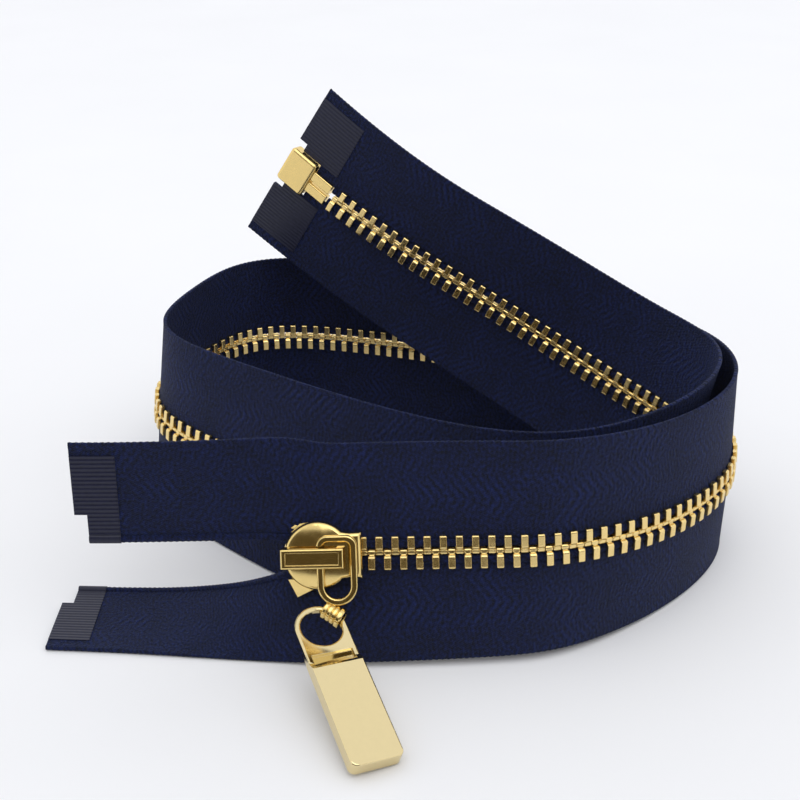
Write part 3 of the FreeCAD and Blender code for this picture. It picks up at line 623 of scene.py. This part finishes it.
def tooth_shape():
    """A tooth: two legs over the tape, a sunk neck and a rounded locking head."""
    leg = [(-0.95, 0.62), (1.3, 0.4), (1.3, 1.12), (1.12, 1.3), (-0.65, 1.3), (-0.95, 1.0)]
    neck = [(-1.35, -0.6), (-0.6, -0.85), (-0.6, 0.85), (-1.35, 0.6)]
    head = [(-1.8, -0.5), (-1.6, -0.68), (-1.15, -0.68), (-0.95, -0.5),
            (-0.95, 0.5), (-1.15, 0.68), (-1.6, 0.68), (-1.8, 0.5)]
    return merged([rounded_prism(leg, LEG_HALF, 0.2),
                   rounded_prism(mirrored(leg), LEG_HALF, 0.2),
                   rounded_prism(neck, NECK_HALF, 0.08),
                   rounded_prism(head, HEAD_HALF, 0.22)])


def stop_shape():
    """A top stop: two short legs clamped over the bead."""
    leg = [(-0.7, 0.2), (1.3, 0.36), (1.3, 1.1), (1.1, 1.3), (-0.4, 1.3), (-0.7, 1.0)]
    return merged([rounded_prism(leg, STOP_HALF, 0.16),
                   rounded_prism(mirrored(leg), STOP_HALF, 0.16)])


def set_along(tape, shape, lengths):
    """Copies of a shape, with its origin on the bead, joined into one mesh."""
    points, polygons = shape
    origin, along, across, normal = tape.frames(np.array(lengths))
    centre = origin + across * BEAD
    shapes = []
    for index in range(len(lengths)):
        axes = np.array([along[index], across[index], normal[index]])
        shapes.append((centre[index] + points @ axes, polygons))
    return merged(shapes)


# Where the first tooth in the open stands along X on the route, and what is hidden before it.
FIRST_OPEN_TOOTH = -2.7
TEETH_IN_SLIDER = 3
STOP_BEFORE_TEETH = 2.1


def length_at(tape, x):
    """The length along the tape's straight front run at which it passes x."""
    fine = np.linspace(0, tape.length / 4, 20001)
    return float(np.interp(x, tape.at(fine)[0][:, 0], fine))


def tooth_lengths(tape):
    """Places of the teeth: three stand inside the slider, and the last by the pins."""
    shift = 0.0 if tape.side > 0 else -PITCH / 2
    start = length_at(tape, FIRST_OPEN_TOOTH - MIDDLE[0]) + shift - TEETH_IN_SLIDER * PITCH
    last = tape.length - BOX_LENGTH - PIN_LENGTH - 0.5
    return [start + index * PITCH for index in range(int((last - start) / PITCH) + 1)]


tape_mesh("left_tape_cloth", UPPER, "left_tape")
tape_mesh("right_tape_cloth", LOWER, "right_tape")
for side, tape in (("left", UPPER), ("right", LOWER)):
    bead_mesh(side + "_cord_braid", tape, side + "_cord")
    film_mesh(side + "_top_film_skin", tape, side + "_top_film", False)
    film_mesh(side + "_bottom_film_skin", tape, side + "_bottom_film", True)
    places = tooth_lengths(tape)
    points, polygons = set_along(tape, tooth_shape(), places)
    row = mesh_object(side + "_teeth_row", points, polygons, TEETH, smooth=False)
    finish_piece(row, "chain", "tooth_metal", side + "_teeth")
    points, polygons = set_along(tape, stop_shape(), [places[0] - STOP_BEFORE_TEETH])
    stop = mesh_object(side + "_top_stop_clamp", points, polygons, TEETH, smooth=False)
    finish_piece(stop, "chain", "tooth_metal", side + "_top_stop")

METALS = {
    "insertion_pin": SATIN, "retainer_pin": SATIN, "retainer_box": SATIN,
    "slider_body": CROWNED, "slider_cap": POLISHED, "lock_spring": SATIN,
    "pull_loop": POLISHED, "ribbed_clip": POLISHED, "puller": MIRROR,
}
for name, material in METALS.items():
    nodes[name].data.materials.clear()
    nodes[name].data.materials.append(material)

# -------------------------------------------------------------------- floor and light
floor_material, floor_tree, floor_shader = new_material("pale_floor")
floor_position = floor_tree.nodes.new("ShaderNodeNewGeometry")
floor_noise = node(floor_tree, "ShaderNodeTexNoise", Scale=14.0, Detail=3.0)
floor_tree.links.new(floor_position.outputs["Position"], floor_noise.inputs["Vector"])
floor_colour = ramp(floor_tree, floor_noise.outputs[0],
                    [(0.3, (0.87, 0.875, 0.89)), (0.7, (0.885, 0.89, 0.905))])
floor_tree.links.new(floor_colour, floor_shader.inputs["Base Color"])
floor_shader.inputs["Roughness"].default_value = 0.8
floor_shader.inputs["Specular IOR Level"].default_value = 0.05


def card(name, corners, material):
    mesh = bpy.data.meshes.new(name)
    mesh.from_pydata(corners, [], [(0, 1, 2, 3)])
    mesh.materials.append(material)
    item = bpy.data.objects.new(name, mesh)
    scene.collection.objects.link(item)
    return item


FLOOR_HALF = 6
card("floor", [(-FLOOR_HALF, -FLOOR_HALF, 0), (FLOOR_HALF, -FLOOR_HALF, 0),
               (FLOOR_HALF, FLOOR_HALF, 0), (-FLOOR_HALF, FLOOR_HALF, 0)], floor_material)

dark_material, _, dark_shader = new_material("dark_card")
dark_shader.inputs["Base Color"].default_value = (0.075, 0.055, 0.026, 1)
dark_shader.inputs["Roughness"].default_value = 0.9
# The card is only there to be mirrored in the gold.
FLAG_HALF = 0.7
FLAG_BACK = -0.75
FLAG_TOP = 0.62
flag = card("front_flag", [(-FLAG_HALF, FLAG_BACK, 0.0), (FLAG_HALF, FLAG_BACK, 0.0),
                           (FLAG_HALF, FLAG_BACK, FLAG_TOP), (-FLAG_HALF, FLAG_BACK, FLAG_TOP)],
            dark_material)
flag.visible_camera = False

world = bpy.data.worlds.new("studio")
world.use_nodes = True
background = world.node_tree.nodes["Background"]
background.inputs["Color"].default_value = (0.965, 0.972, 1.0, 1)
background.inputs["Strength"].default_value = 1.05
scene.world = world


def area_light(name, place, aim, side, power):
    data = bpy.data.lights.new(name, "AREA")
    data.shape = "SQUARE"
    data.size = side
    data.energy = power
    item = bpy.data.objects.new(name, data)
    item.location = place
    item.rotation_euler = (Vector(aim) - Vector(place)).to_track_quat("-Z", "Y").to_euler()
    scene.collection.objects.link(item)
    return item


area_light("top_box", (0.15, -0.5, 1.1), (0, 0, 0), 1.0, 3.2)

camera_data = bpy.data.cameras.new("camera")
CAMERA_PLACE = np.array([0.43, -156.34, 126.38])
CAMERA_DOWN = 26.99
camera_data.lens = 56.11
camera_data.sensor_width = 36.0
camera_data.clip_start = 0.01
camera = bpy.data.objects.new("camera", camera_data)
camera.location = Vector((CAMERA_PLACE - MIDDLE) * MM)
camera.rotation_euler = (math.radians(90 - CAMERA_DOWN), 0, 0)
scene.collection.objects.link(camera)
scene.camera = camera
scene.view_settings.view_transform = "Standard"

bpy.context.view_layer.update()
